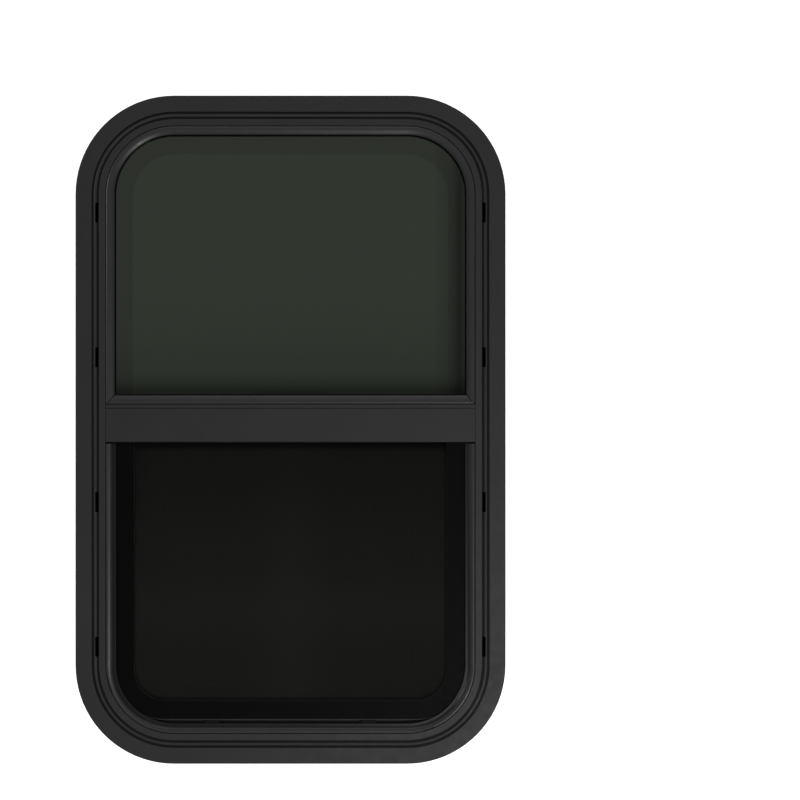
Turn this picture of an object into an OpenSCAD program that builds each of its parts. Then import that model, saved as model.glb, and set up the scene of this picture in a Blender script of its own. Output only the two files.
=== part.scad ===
// Black vertical slider window for a caravan or camper, clamped in its wall by an inside ring.
// Upper glass fixed, lower sash glass sliding up behind it, insect screen outside the sash.
// X runs across the window, Y from outside to the room, Z up.
// The origin is on the flange's back face, at the middle of its bottom run. All in millimetres.

/* [Wall opening] */
// Width of the cut-out in the wall
opening_w = 381; // [330:0.5:500]
// Height of the cut-out in the wall
opening_h = 609.6; // [560:0.5:760]
// Corner radius of the cut-out
opening_r = 76.2; // [70:0.1:95]
// Thickness of the wall between flange and clamp ring
wall_t = 38.1; // [36:0.1:42]

/* [Outside frame] */
// How far the flange laps over the outside skin
flange_lap = 15.9; // [12:0.1:22]
// How much larger the flange's corner radius is than the cut-out's and the lap together
corner_ease = 2.5; // [0:0.1:4]
// Thickness of the flange in front of the skin
flange_t = 3; // [2.4:0.1:4]
// Rounding of the flange's outer front edge
flange_round = 1.2; // [0.6:0.1:2]
// Gap between the frame's body and the edge of the cut-out
body_gap = 0.6; // [0.4:0.1:2]
// Width of the frame's body, from its outer wall to the floor of its pockets
body_w = 12.4; // [11.8:0.1:16]
// Thickness of the body's walls
wall_s = 1.2; // [1:0.1:1.4]
// Thickness of the face over the drain chamber
face_s = 1.8; // [1.6:0.1:2.4]
// Height of the fin that backs the fixed glass and the screen
fin_h = 12.8; // [12.2:0.1:15]
// Thickness of the fin
fin_s = 1.5; // [1:0.1:2]
// Height of the inner leg that closes the sash track on the room side
leg_h = 24.1; // [20:0.1:28]
// Thickness of the inner leg
leg_s = 1.6; // [1.2:0.1:2.2]
// How far the leg's edge turns towards the room
leg_lip = 3.3; // [2:0.1:5]
// Width of the screw channel, the core width of the ring's screws
channel_w = 3; // [2.6:0.1:3.2]
// Room under the tip of a screw in its channel
channel_gap = 0.2; // [0.1:0.1:1]

/* [Face grooves and weep slots] */
// Distance between the two grooves in the face
groove_gap = 5.2; // [4.6:0.1:6.5]
// Width of a groove
groove_w = 1.5; // [0.8:0.1:1.8]
// Depth of a groove
groove_d = 1.2; // [0.5:0.1:1.2]
// Radius of the crowned strip between the grooves
strip_r = 2.4; // [2.2:0.1:12]
// Rounding of the face's edges along the grooves
groove_edge = 0.7; // [0.3:0.1:0.8]
// Length of a weep slot
weep_l = 19; // [12:0.5:24]
// Width of a weep slot
weep_w = 3.3; // [2:0.1:3.6]
// Distance from the end of a side's straight run to its last weep slot
weep_end = 10.8; // [4:0.1:30]
// Weep slots on each side
weep_count = 4; // [2:1:4]
// Length of a drain slot in the sill
drain_l = 20; // [10:0.5:30]
// Distance from the end of the sill's straight run to a drain slot
drain_end = 44.3; // [20:0.1:60]

/* [Glass] */
// Thickness of both panes
glass_t = 4; // [3.2:0.1:4.4]
// Depth of the fixed glass behind the outside skin
glass_y = 1.5; // [1:0.1:2.5]
// Gap between a pane's edge and the floor of its pocket
edge_gap = 1.5; // [1.2:0.1:2.4]
// Thickness of the tape between the fixed glass and the fin
tape_t = 1; // [0.6:0.1:1.6]
// Width of the glazing tape
tape_w = 8; // [5:0.1:9]
// Length of a setting block under the fixed glass
block_l = 20; // [10:1:40]
// Distance from the side of the fixed glass to a setting block
block_end = 66; // [40:1:90]

/* [Glazing beads] */
// Width of the beads that cover the glass edge
bead_w = 9.8; // [9:0.1:11]
// Height of the beads' crown in front of the face
bead_proud = 0.5; // [0.2:0.1:1]
// Rounding of the beads' outer edge
bead_round = 1.6; // [1:0.1:1.8]
// Radius of the face of the beads round the fixed glass
bead_crown = 15; // [12:0.1:20]
// Gap of the mitre joints between the beads round the fixed glass
mitre_gap = 0.3; // [0.1:0.1:0.5]
// Gap between a bead and the pocket that it is pressed into
bead_fit = 0.3; // [0.1:0.05:0.4]
// Gap between a lower bead and the screen behind it
screen_play = 0.4; // [0.3:0.1:0.6]
// Radius of the lower bead's face
low_crown = 7; // [6.4:0.1:10]
// Width of the lip along the lower bead's inner edge
lip_w = 2.9; // [2:0.1:3.6]
// Thickness of the lip
lip_t = 1.3; // [1:0.1:1.6]
// Rounding of the lip's edge
lip_r = 0.5; // [0.3:0.1:0.7]
// Gap between the ends of the lower bead and the meeting rail
foot_gap = 1.2; // [0.3:0.1:2]

/* [Meeting rail] */
// Height of the rail's face
rail_h = 36.5; // [34:0.1:42]
// How far the rail's lower edge lies below the middle of the window
rail_drop = 12.3; // [-20:0.1:40]
// Gap at each end of the rail
rail_gap = 0.3; // [0.2:0.1:0.5]
// Thickness of the rail's webs
rail_s = 1.4; // [1.2:0.1:1.8]
// Rounding of the rail's lower front edge
rail_round = 1.6; // [1:0.1:1.7]
// Distance from the rail's top edge to the fine line along its face
rail_line = 3.6; // [3:0.1:8]
// Width and depth of the fine lines in the rail and the clamp ring
line_w = 0.6; // [0.4:0.1:0.9]
// Depth of the rail's groove over the top of the screen
rail_groove = 22; // [21:0.1:22.5]
// Height of the fin along the rail's top, behind the fixed glass
rail_fin = 10.2; // [9.8:0.1:11.4]
// Height of the hook that the sash locks behind
hook_h = 5.5; // [4.5:0.1:6]
// Thickness of the hooks on rail and sash
hook_s = 1.1; // [0.9:0.1:1.2]
// Clear gap between the two hooks
hook_gap = 0.5; // [0.4:0.1:0.6]

/* [Sliding sash] */
// Gap between the fin and the sash glass
gap_front = 4.6; // [4.4:0.1:5.4]
// Gap between the sash glass and the inner leg
gap_back = 3; // [2.6:0.1:3.6]
// How far the sash glass overlaps the meeting rail's face
sash_lap = 42; // [41:0.1:46]
// Height of the sash's top rail
sash_rail_h = 12.3; // [11:0.1:13]
// Thickness of the sash rail's walls
sash_rail_s = 1.2; // [1:0.1:1.3]
// Gap between the pane and the walls of its rail
glaze_gap = 0.2; // [0.1:0.05:0.3]
// How far the finger ledge stands into the room
ledge_d = 7; // [5:0.1:9]
// Gap between the finger ledge's ends and the frame's leg
ledge_gap = 3.5; // [2:0.1:8]
// Gap between the finger ledge and the latch body
latch_gap = 1; // [0.5:0.1:3]
// How far the finger ledge's front edge hangs down
ledge_drop = 3; // [1:0.1:5]
// Length of a sash glide
glide_l = 22; // [12:1:40]
// Distance from the end of the sill's straight run to a glide
glide_end = 13.3; // [6:0.1:40]
// Thickness of a glide's cheeks
glide_s = 2; // [1.2:0.1:2.4]
// Height of a glide's cheeks on the glass
glide_h = 3.2; // [2:0.1:4]
// Width of the pile seals in the sash track
pile_w = 5; // [3:0.1:7]
// Gap between a pile seal and what slides past it
pile_gap = 0.2; // [0.1:0.05:0.3]

/* [Latch] */
// Width of the latch body
latch_w = 70; // [50:1:90]
// Depth of the latch body
latch_d = 7; // [5.5:0.1:9]
// How far the latch body stands above the sash rail
latch_up = 5.7; // [5:0.1:6.5]
// How far the latch body reaches below the top of the sash rail
latch_down = 15; // [12:0.1:20]
// Thickness of the latch body's walls
latch_s = 1.6; // [1.2:0.1:2]
// Width of the latch tongue
tongue_w = 18; // [10:0.5:24]
// Thickness of the latch tongue
tongue_t = 2.4; // [1.6:0.1:2.6]
// Clearance of the tongue in its slots
tongue_gap = 0.5; // [0.3:0.1:0.6]
// Height of the tongue above the sash rail
tongue_rise = 1.2; // [1:0.1:1.4]
// Space beside the thumb piece in its recess
thumb_side = 6; // [3:0.1:10]
// Height of the thumb piece below the tongue
thumb_h = 9; // [6:0.1:11]
// Thickness of the thumb piece
thumb_t = 3; // [2:0.1:3.4]

/* [Insect screen] */
// Width of the screen's frame
screen_b = 19; // [16:0.1:20]
// Thickness of the screen's frame
screen_t = 5.6; // [4.8:0.1:5.6]
// How far the screen's sides reach behind the beads
screen_bite = 1.5; // [1:0.1:2.5]
// Gap between the bottom bead and the screen
screen_lift = 2.7; // [1:0.1:4]
// Gap between the screen's top and the rail's groove
screen_top_gap = 2.5; // [1:0.1:4]
// Outer radius of the screen's lower corners
screen_r = 48; // [40:0.5:56]
// Rounding of the screen's outer front edge
screen_round = 1.6; // [0.4:0.1:1.8]
// Width and depth of the groove for the spline
spline_groove = 3.4; // [3:0.1:4]
// Diameter of the spline
spline_d = 3.2; // [2.8:0.1:3.2]
// Distance from the screen frame's inner edge to the spline groove
spline_in = 2.2; // [1.6:0.1:3]
// Thickness of the mesh
mesh_t = 0.4; // [0.3:0.1:0.6]
// Length of a screen rest block
rest_l = 14; // [8:0.5:30]
// Distance from the end of the sill's straight run to a rest block
rest_end = 32.3; // [10:0.1:60]

/* [Clamp ring] */
// Width of the ring's section
ring_b = 32; // [31:0.1:34]
// Width of the band that lies on the inside skin
ring_band = 15.4; // [12:0.1:16.5]
// Thickness of the ring
ring_s = 1.6; // [1.2:0.1:2]
// Rounding of the ring's outer edge
ring_round = 1; // [0.6:0.1:1.2]
// Distance from the ring's outer edge to the fine line along its band
ring_line = 5.3; // [3:0.1:9]
// Depth of the recess for the screw heads
ring_step = 6.5; // [5.5:0.1:7]
// Depth of the lip that turns from the ring's inner edge towards the frame
ring_lip = 3; // [1:0.1:4]
// Gap between the frame's body and the ring's recess
ring_clear = 2.1; // [1.5:0.1:4]
// Width of the butt seam in the ring's top run
seam_w = 0.3; // [0.2:0.1:0.6]
// Diameter of a screw hole
hole_d = 4.9; // [4.4:0.1:5.4]
// Distance from the end of a straight run to its last screw
screw_end = 10.8; // [6:0.1:30]
// Screws on each side of the ring
screw_count = 4; // [2:1:4]
// Diameter of a screw head
head_d = 9.6; // [8:0.1:10]
// Height of a screw head
head_h = 2.6; // [2:0.1:3.4]
// Length of a screw under its head
screw_l = 25; // [20:0.5:25.4]
// Diameter of a screw's tip
tip_d = 0.4; // [0.2:0.1:1]

/* [Hidden] */
$fn = 96;
cut = 1;
touch = 0.1;

// Outline of the flange, and the height of the window's middle above the origin
outer_w = opening_w + 2 * flange_lap;
outer_h = opening_h + 2 * flange_lap;
outer_r = opening_r + flange_lap + corner_ease;
bottom_z = -flange_lap / 2;
top_z = bottom_z + outer_h;
mid_z = (bottom_z + top_z) / 2;
run_w = opening_w - 2 * opening_r;
run_h = opening_h - 2 * opening_r;

// Distances inwards from the flange's outer edge
body_u = flange_lap + body_gap;
pocket_u = body_u + body_w;
fin_u = pocket_u + fin_h;
leg_u = pocket_u + leg_h;
bead_u = pocket_u + bead_w;
channel_u = pocket_u - wall_s - channel_w / 2;
chamber_u = body_u + wall_s;
strip_u = body_u + groove_gap;
weep_u = strip_u + groove_w / 2 - weep_w;

// Depths behind the outside skin
face_y = -flange_t;
fin_y = glass_y + glass_t + tape_t;
track_y = fin_y + fin_s;
sash_y = track_y + gap_front;
leg_y = sash_y + glass_t + gap_back;
screen_y = fin_y - touch - screen_t;
mesh_y = fin_y - touch - mesh_t;
recess_y = wall_t + ring_s - ring_step;
body_d = recess_y - ring_s - ring_clear;
channel_y = recess_y - screw_l - channel_gap;

// Heights of the rail, the screen and the sash
rail_z = mid_z - rail_drop;
sill_z = rail_z + rail_h;
screen_low = bottom_z + bead_u + screen_lift;
screen_high = rail_z + rail_groove - screen_top_gap;
screen_w = outer_w - 2 * (bead_u - screen_bite);
sash_low = bottom_z + pocket_u + edge_gap;
sash_high = rail_z + sash_lap;
sash_w = outer_w - 2 * (pocket_u + edge_gap);
sash_r = outer_r - pocket_u - edge_gap;
sash_top = sash_high + glaze_gap + sash_rail_s;
sash_front = sash_y - glaze_gap - sash_rail_s;
sash_back = sash_y + glass_t + glaze_gap + sash_rail_s;
hook_z = sash_top - sash_rail_h - sash_rail_s - hook_h - hook_gap;
tongue_z = sash_top + tongue_rise;

// A rectangle in a section, from its two corners
module bar(u0, u1, y0, y1) {
    translate([u0, y0]) square([u1 - u0, y1 - y0]);
}

// One bent corner of a section whose x runs inwards from the outline, at the lower right
module bend(r) {
    rotate([-90, 0, 0])
        rotate_extrude(angle = 90)
            translate([r, 0])
                mirror([1, 0])
                    children();
}

// A closed rounded frame, centred on the origin in X and Z
module ring_of(w, h, r) {
    for (turn = [0, 180])
        rotate([0, turn, 0]) {
            translate([-w / 2, 0, 0]) linear_extrude(h - 2 * r, center = true) children();
            translate([w / 2 - r, 0, r - h / 2]) bend(r) children();
        }
    for (turn = [90, 270])
        rotate([0, turn, 0]) {
            translate([-h / 2, 0, 0]) linear_extrude(w - 2 * r, center = true) children();
            translate([h / 2 - r, 0, r - w / 2]) bend(r) children();
        }
}

// A straight run along X of a section whose x is its height
module across(length) {
    rotate([0, -90, 0]) linear_extrude(length, center = true) children();
}

// Two sides and a bottom with round corners, open at the top; the bottom lies on z = 0
module trough(w, h, r) {
    translate([r - w / 2, 0, 0]) mirror([1, 0, 0]) translate([0, 0, r]) bend(r) children();
    translate([w / 2 - r, 0, r]) bend(r) children();
    across(w - 2 * r) children();
    translate([-w / 2, 0, r]) linear_extrude(h - r) children();
    mirror([1, 0, 0]) translate([-w / 2, 0, r]) linear_extrude(h - r) children();
}

// A trough turned over, its top on z = 0
module arch(w, h, r) {
    mirror([0, 0, 1]) trough(w, h, r) children();
}

// A pane with two round corners at the bottom, from depth y; the bottom lies on z = 0
module pane(w, h, r, y, t) {
    translate([0, y + t, 0])
        rotate([90, 0, 0])
            linear_extrude(t) {
                translate([-w / 2, r]) square([w, h - r]);
                translate([r - w / 2, 0]) square([w - 2 * r, r]);
                for (side = [-1, 1])
                    translate([side * (w / 2 - r), r]) circle(r);
            }
}

// Places a row of copies along X, centred
module row_x(count, pitch) {
    for (i = [0 : count - 1])
        translate([(i - (count - 1) / 2) * pitch, 0, 0]) children();
}

// Places a row of copies along Z, centred
module row_z(count, pitch) {
    for (i = [0 : count - 1])
        translate([0, 0, (i - (count - 1) / 2) * pitch]) children();
}

// Cuts an edge of the face down to a rounding; the face lies on the side that way points to
module face_edge(u, way) {
    far = u + way * groove_edge;
    difference() {
        bar(min(u - way * touch, far), max(u - way * touch, far), face_y - cut, face_y + groove_edge);
        translate([far, face_y + groove_edge]) circle(groove_edge);
    }
}

// Section of the outside frame: flange, face, drain chamber, screw channel, fin and inner leg
module frame_section() {
    difference() {
        union() {
            bar(flange_round, chamber_u, face_y, 0);
            bar(0, flange_round, face_y + flange_round, 0);
            translate([flange_round, face_y + flange_round]) circle(flange_round);
            bar(chamber_u, pocket_u, face_y, face_y + face_s);
        }
        // Two grooves with a crowned strip between them
        difference() {
            bar(body_u - groove_w / 2, strip_u + groove_w / 2, face_y - cut, face_y + groove_d);
            intersection() {
                bar(body_u + groove_w / 2, strip_u - groove_w / 2, face_y - cut, face_y + 2 * groove_d);
                translate([body_u + groove_gap / 2, face_y + strip_r]) circle(strip_r);
            }
        }
        face_edge(body_u - groove_w / 2, -1);
        face_edge(strip_u + groove_w / 2, 1);
    }
    // Outer wall, pocket wall and the web that closes the chamber
    bar(body_u, chamber_u, -cut, body_d);
    bar(pocket_u - wall_s, pocket_u, face_y + face_s - touch, body_d);
    bar(chamber_u - touch, channel_u - channel_w / 2, body_d - wall_s, body_d);
    // Screw channel
    bar(channel_u - channel_w / 2 - wall_s, channel_u - channel_w / 2, channel_y, body_d);
    bar(channel_u - channel_w / 2 - wall_s, pocket_u, channel_y - wall_s, channel_y);
    // Fin and inner leg
    bar(pocket_u - touch, fin_u, fin_y, track_y);
    bar(pocket_u - touch, leg_u, leg_y, leg_y + leg_s);
    bar(leg_u - wall_s, leg_u, leg_y, leg_y + leg_s + leg_lip);
}

module outer_frame() {
    color("#2b2a2d")
        difference() {
            translate([0, 0, mid_z]) ring_of(outer_w, outer_h, outer_r) frame_section();
            // Weep slots through the face into the chamber
            for (side = [0, 1])
                mirror([side, 0, 0])
                    translate([weep_u - outer_w / 2, face_y - cut, mid_z])
                        row_z(weep_count, (run_h - 2 * weep_end - weep_l) / (weep_count - 1))
                            translate([0, 0, -weep_l / 2]) cube([weep_w, face_s + 2 * cut, weep_l]);
            // Drain slots from the sash track into the chamber
            translate([0, track_y + cut, bottom_z + pocket_u - wall_s - cut])
                row_x(2, run_w - 2 * drain_end - drain_l)
                    translate([-drain_l / 2, 0, 0]) cube([drain_l, gap_front - cut, wall_s + 2 * cut]);
        }
}

module fixed_glass() {
    color("#2f352e")
        translate([0, 0, top_z - pocket_u - edge_gap])
            mirror([0, 0, 1])
                pane(sash_w, top_z - pocket_u - 2 * edge_gap - sill_z, sash_r, glass_y, glass_t);
}

// Tape between the fixed glass and the fins, all the way round
module glazing_tape() {
    color("#141414") {
        translate([0, 0, top_z])
            arch(outer_w, top_z - sill_z - edge_gap, outer_r)
                bar(bead_u - tape_w, bead_u, fin_y - tape_t, fin_y);
        translate([0, 0, sill_z])
            across(outer_w - 2 * bead_u)
                bar(bead_w - tape_w, bead_w, fin_y - tape_t, fin_y);
    }
}

module glass_setting_blocks() {
    color("#161616")
        row_x(2, sash_w - 2 * block_end - block_l)
            translate([-block_l / 2, glass_y, sill_z]) cube([block_l, glass_t, edge_gap]);
}

// Section of a glazing bead: a rounded crest, and a crowned face that slopes inwards from it
module bead_section(inner, back, crown) {
    crest_u = bead_fit + bead_round;
    crest_y = face_y - bead_proud;
    intersection() {
        union() {
            bar(crest_u, inner, crest_y - cut, back);
            bar(bead_fit, inner, crest_y + bead_round, back);
            translate([crest_u, crest_y + bead_round]) circle(bead_round);
        }
        translate([crest_u, crest_y + crown]) circle(crown);
    }
}

// A wedge that cuts the 45 degree mitre at the left foot of the upper bead
module mitre_cut() {
    translate([pocket_u - outer_w / 2, face_y - 2 * cut, sill_z])
        rotate([0, -45, 0])
            translate([-bead_w, 0, mitre_gap - bead_w])
                cube([4 * bead_w, fin_y - face_y, bead_w]);
}

module upper_bead() {
    color("#29292c")
        difference() {
            translate([0, 0, top_z])
                arch(outer_w, top_z - sill_z, outer_r)
                    translate([pocket_u, 0]) bead_section(bead_w, glass_y, bead_crown);
            mitre_cut();
            mirror([1, 0, 0]) mitre_cut();
        }
}

// Bead along the rail, mitred to the upper bead
module rail_bead() {
    length = outer_w - 2 * pocket_u - 2 * bead_fit;
    color("#29292c")
        intersection() {
            translate([0, 0, sill_z]) across(length) bead_section(bead_w, glass_y, bead_crown);
            translate([0, fin_y, sill_z])
                rotate([90, 0, 0])
                    linear_extrude(fin_y - face_y + 2 * cut)
                        polygon([[-length / 2, 0], [length / 2, 0],
                            [length / 2 - bead_w, bead_w], [bead_w - length / 2, bead_w]]);
        }
}

module lower_bead() {
    back = screen_y - screen_play;
    lip_u = bead_w - lip_w;
    color("#29292c")
        translate([0, 0, bottom_z])
            trough(outer_w, rail_z - bottom_z - foot_gap, outer_r)
                translate([pocket_u, 0]) {
                    bead_section(lip_u, back, low_crown);
                    bar(lip_u - touch, bead_w - lip_r, back - lip_t, back);
                    bar(lip_u - touch, bead_w, back - lip_t + lip_r, back);
                    translate([bead_w - lip_r, back - lip_t + lip_r]) circle(lip_r);
                }
}

// Section of the meeting rail; its x is the height above the rail's lower edge
module rail_section() {
    difference() {
        union() {
            bar(0, rail_h, face_y, face_y + face_s);
            bar(0, rail_s, face_y, screen_y - screen_play);
        }
        translate([rail_h - rail_line, 0]) bar(-line_w / 2, line_w / 2, face_y - cut, face_y + line_w);
        // Rounded lower edge
        difference() {
            bar(-cut, rail_round, face_y - cut, face_y + rail_round);
            translate([rail_round, face_y + rail_round]) circle(rail_round);
        }
    }
    bar(rail_groove, rail_groove + rail_s, face_y, track_y);
    bar(rail_h - rail_s, rail_h, face_y, track_y);
    bar(0, rail_h + rail_fin, fin_y, track_y);
    // Hook that points up behind the rail
    translate([hook_z - rail_z, 0]) {
        bar(-hook_s, 0, fin_y, sash_front + hook_s / 2);
        bar(-hook_s, hook_h - hook_gap, sash_front - hook_s / 2, sash_front + hook_s / 2);
    }
}

module meeting_rail() {
    length = outer_w - 2 * pocket_u - 2 * rail_gap;
    fin_end = outer_w / 2 - fin_u - rail_gap;
    color("#2d2c2f")
        difference() {
            union() {
                translate([0, 0, rail_z]) across(length) rail_section();
                // Keeper on the fin, in front of the latch
                translate([-latch_w / 2, fin_y, sill_z + rail_fin - touch])
                    cube([latch_w, fin_s, fin_h - rail_fin + touch]);
            }
            // The rail's back is coped round the frame's fins
            for (side = [0, 1])
                mirror([side, 0, 0])
                    translate([fin_end, fin_y - rail_gap, rail_z - cut])
                        cube([outer_w, gap_front + fin_s + cut, rail_h + fin_h + 2 * cut]);
            // Slot for the latch tongue
            translate([-tongue_w / 2 - tongue_gap, fin_y - cut, tongue_z - tongue_gap])
                cube([tongue_w + 2 * tongue_gap, fin_s + 2 * cut, tongue_t + 2 * tongue_gap]);
        }
}

// Pile strip behind the meeting rail, against the sash glass
module rail_seal() {
    color("#101010")
        translate([0, 0, hook_z - hook_s - pile_w - cut])
            across(outer_w - 2 * fin_u - 2 * cut)
                bar(0, pile_w, track_y, sash_y - pile_gap);
}

// Section of the screen's frame, with the groove for the spline in its back
module screen_section() {
    inner = screen_b - spline_in;
    difference() {
        union() {
            bar(0, screen_b, screen_y + screen_round, screen_y + screen_t);
            bar(screen_round, screen_b, screen_y, screen_y + screen_round);
            translate([screen_round, screen_y + screen_round]) circle(screen_round);
        }
        bar(inner - spline_groove, inner, screen_y + screen_t - spline_groove, fin_y);
        bar(inner - touch, screen_b + cut, mesh_y, fin_y);
    }
}

module screen_frame() {
    color("#141415")
        translate([0, 0, screen_low])
            trough(screen_w, screen_high - screen_low - screen_b - touch, screen_r) screen_section();
}

module screen_top_bar() {
    color("#141415")
        translate([0, 0, screen_high])
            mirror([0, 0, 1])
                across(screen_w - 2 * screen_b) screen_section();
}

// Corner keys that join the top bar to the sides, with the spline groove turning through them
module screen_corner_keys() {
    inner = screen_b - spline_in;
    color("#1b1b1b")
        for (side = [0, 1])
            mirror([side, 0, 0])
                translate([-screen_w / 2, 0, screen_high])
                    difference() {
                        translate([0, screen_y, -screen_b]) cube([screen_b - touch, screen_t, screen_b]);
                        translate([inner - spline_groove, screen_y + screen_t - spline_groove, -screen_b - cut])
                            cube([spline_groove, screen_t, screen_b + cut - inner + spline_groove]);
                        translate([inner - spline_groove, screen_y + screen_t - spline_groove, -inner])
                            cube([screen_b, screen_t, spline_groove]);
                        translate([inner - touch, mesh_y, -screen_b - cut])
                            cube([screen_b, screen_t, screen_b + cut - inner + touch]);
                    }
}

module screen_mesh() {
    inner = screen_b - spline_in;
    color("#1c1d1b")
        translate([0, 0, screen_low + inner])
            pane(screen_w - 2 * inner, screen_high - screen_low - 2 * inner,
                screen_r - inner, mesh_y, mesh_t);
}

// Round rubber cord that holds the mesh in the groove
module screen_spline() {
    middle = screen_b - spline_in - spline_groove / 2;
    spline_y = screen_y + screen_t - spline_d / 2;
    color("#0f0f0f") {
        translate([0, 0, screen_low])
            trough(screen_w, screen_high - screen_low - middle, screen_r)
                translate([middle, spline_y]) circle(d = spline_d);
        translate([0, spline_y, screen_high - middle]) {
            rotate([0, 90, 0]) cylinder(d = spline_d, h = screen_w - 2 * middle, center = true);
            for (side = [-1, 1])
                translate([side * (screen_w / 2 - middle), 0, 0]) sphere(d = spline_d);
        }
    }
}

// Blocks in the sill that the screen stands on
module screen_rest_blocks() {
    color("#121212")
        translate([0, screen_y, bottom_z + pocket_u])
            row_x(2, run_w - 2 * rest_end - rest_l)
                translate([-rest_l / 2, 0, 0]) cube([rest_l, screen_t, bead_w + screen_lift]);
}

module sash_glass() {
    color("#20241f")
        translate([0, 0, sash_low]) pane(sash_w, sash_high - sash_low, sash_r, sash_y, glass_t);
}

// Section of the sash's top rail: a pocket over the glass and a hook that points down
module sash_rail_section() {
    low = sash_rail_h;
    bar(0, low, sash_front, sash_front + sash_rail_s);
    bar(0, low, sash_back - sash_rail_s, sash_back);
    bar(low - sash_rail_s, low, sash_front, sash_back);
    bar(0, sash_rail_s, sash_front - 2 * hook_s - hook_gap, sash_front + sash_rail_s);
    bar(-hook_h, sash_rail_s, sash_front - 2 * hook_s - hook_gap, sash_front - hook_s - hook_gap);
}

module sash_top_rail() {
    ledge = (outer_w - 2 * leg_u - latch_w) / 2 - ledge_gap - latch_gap;
    color("#2b2a2d") {
        translate([0, 0, sash_top - sash_rail_h]) across(sash_w) sash_rail_section();
        // Finger ledge on each side of the latch
        for (side = [-1, 1])
            translate([side * (latch_w / 2 + latch_gap + ledge / 2), 0, sash_top - sash_rail_s])
                across(ledge) {
                    bar(0, sash_rail_s, sash_back - touch, sash_back + ledge_d);
                    bar(-ledge_drop, sash_rail_s, sash_back + ledge_d - sash_rail_s, sash_back + ledge_d);
                }
    }
}

// Gasket round the top edge of the sash glass
module sash_rail_gasket() {
    color("#111111")
        translate([0, 0, sash_high])
            across(sash_w - 2 * sash_rail_s)
                bar(0, glaze_gap, sash_y, sash_y + glass_t);
}

// Plastic caps that run in the track at the ends of the sash's top rail
module sash_rail_end_caps() {
    color("#151515")
        for (side = [-1, 1])
            translate([side * (sash_w + edge_gap) / 2, 0, 0])
                translate([-edge_gap / 4, sash_front, sash_top - sash_rail_h])
                    cube([edge_gap / 2, sash_back - sash_front, sash_rail_h]);
}

// Shoes under the sash glass that stand in the sill track
module sash_glides() {
    color("#1a1a1a")
        translate([0, 0, sash_low - edge_gap])
            row_x(2, run_w - 2 * glide_end - glide_l)
                across(glide_l)
                    difference() {
                        bar(0, edge_gap + glide_h, sash_y - glide_s, sash_y + glass_t + glide_s);
                        bar(edge_gap, edge_gap + glide_h + cut, sash_y - touch,
                            sash_y + glass_t + touch);
                    }
}

// Pile seals on both sides of the track, below and above the sash rail
module track_seal(y0, y1) {
    seal_u = pocket_u + edge_gap + glide_h + 3 * touch;
    seal_end = hook_z - hook_s - cut;
    translate([0, 0, bottom_z])
        trough(outer_w, seal_end - bottom_z, outer_r) bar(seal_u, seal_u + pile_w, y0, y1);
    for (side = [0, 1])
        mirror([side, 0, 0])
            translate([-outer_w / 2, 0, sash_top + cut])
                linear_extrude(top_z - outer_r - sash_top - cut)
                    bar(seal_u, seal_u + pile_w, y0, y1);
}

module sash_seal_front() {
    color("#101010") track_seal(track_y, sash_y - pile_gap);
}

module sash_seal_back() {
    color("#101010") track_seal(sash_y + glass_t + pile_gap, leg_y);
}

// Moulded latch body on the room side of the sash rail, open for the slide
module latch_body() {
    low = sash_top - latch_down;
    high = sash_top + latch_up;
    color("#1d1d1f")
        difference() {
            translate([-latch_w / 2, sash_back, low]) cube([latch_w, latch_d, high - low]);
            // Thumb recess
            translate([-tongue_w / 2 - thumb_side, sash_back + latch_s, low + latch_s])
                cube([tongue_w + 2 * thumb_side, latch_d, high - low - 2 * latch_s]);
            // Way through for the tongue
            translate([-tongue_w / 2 - tongue_gap, sash_back - cut, tongue_z - tongue_gap])
                cube([tongue_w + 2 * tongue_gap, latch_s + 2 * cut, tongue_t + 2 * tongue_gap]);
        }
}

// Sliding tongue with its thumb piece
module latch_slide() {
    thumb_y = sash_back + latch_s + 3 * touch;
    color("#232325") {
        translate([-tongue_w / 2, fin_y + 3 * touch, tongue_z])
            cube([tongue_w, thumb_y + thumb_t - fin_y - 3 * touch, tongue_t]);
        translate([-tongue_w / 2, thumb_y, tongue_z - thumb_h])
            cube([tongue_w, thumb_t, thumb_h + tongue_t]);
    }
}

// Section of the clamp ring: band on the skin, step, recess for the screws, lip
module ring_section() {
    difference() {
        union() {
            bar(ring_round, ring_band, wall_t, wall_t + ring_s);
            bar(0, ring_round + touch, wall_t, wall_t + ring_s - ring_round);
            translate([ring_round, wall_t + ring_s - ring_round]) circle(ring_round);
        }
        bar(ring_line - line_w / 2, ring_line + line_w / 2, wall_t + ring_s - line_w, 2 * wall_t);
        bar(-cut, 2 * ring_round, wall_t - 2 * ring_round, wall_t);
    }
    bar(ring_band - touch, ring_band + ring_s, recess_y - ring_s, wall_t + ring_s);
    bar(ring_band, ring_b, recess_y - ring_s, recess_y);
    bar(ring_b - ring_s, ring_b, recess_y - ring_s - ring_lip, recess_y);
}

module clamp_ring() {
    color("#232323")
        difference() {
            translate([0, 0, mid_z]) ring_of(outer_w, outer_h, outer_r) ring_section();
            translate([0, 0, mid_z]) {
                for (side = [-1, 1]) {
                    translate([0, recess_y, side * (outer_h / 2 - channel_u)])
                        row_x(screw_count, pitch_across()) screw_hole();
                    translate([side * (outer_w / 2 - channel_u), recess_y, 0])
                        row_z(screw_count, pitch_up()) screw_hole();
                }
            }
            // Butt seam in the top run
            translate([-seam_w / 2, 0, top_z - ring_b - cut])
                cube([seam_w, 2 * wall_t, ring_b + 2 * cut]);
        }
}

// Distances between the screws along a top or bottom run, and up a side
function pitch_across() = (run_w - 2 * screw_end) / (screw_count - 1);
function pitch_up() = (run_h - 2 * screw_end) / (screw_count - 1);

module screw_hole() {
    translate([0, cut, 0])
        rotate([90, 0, 0]) cylinder(d = hole_d, h = ring_s + 2 * cut);
}

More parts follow.
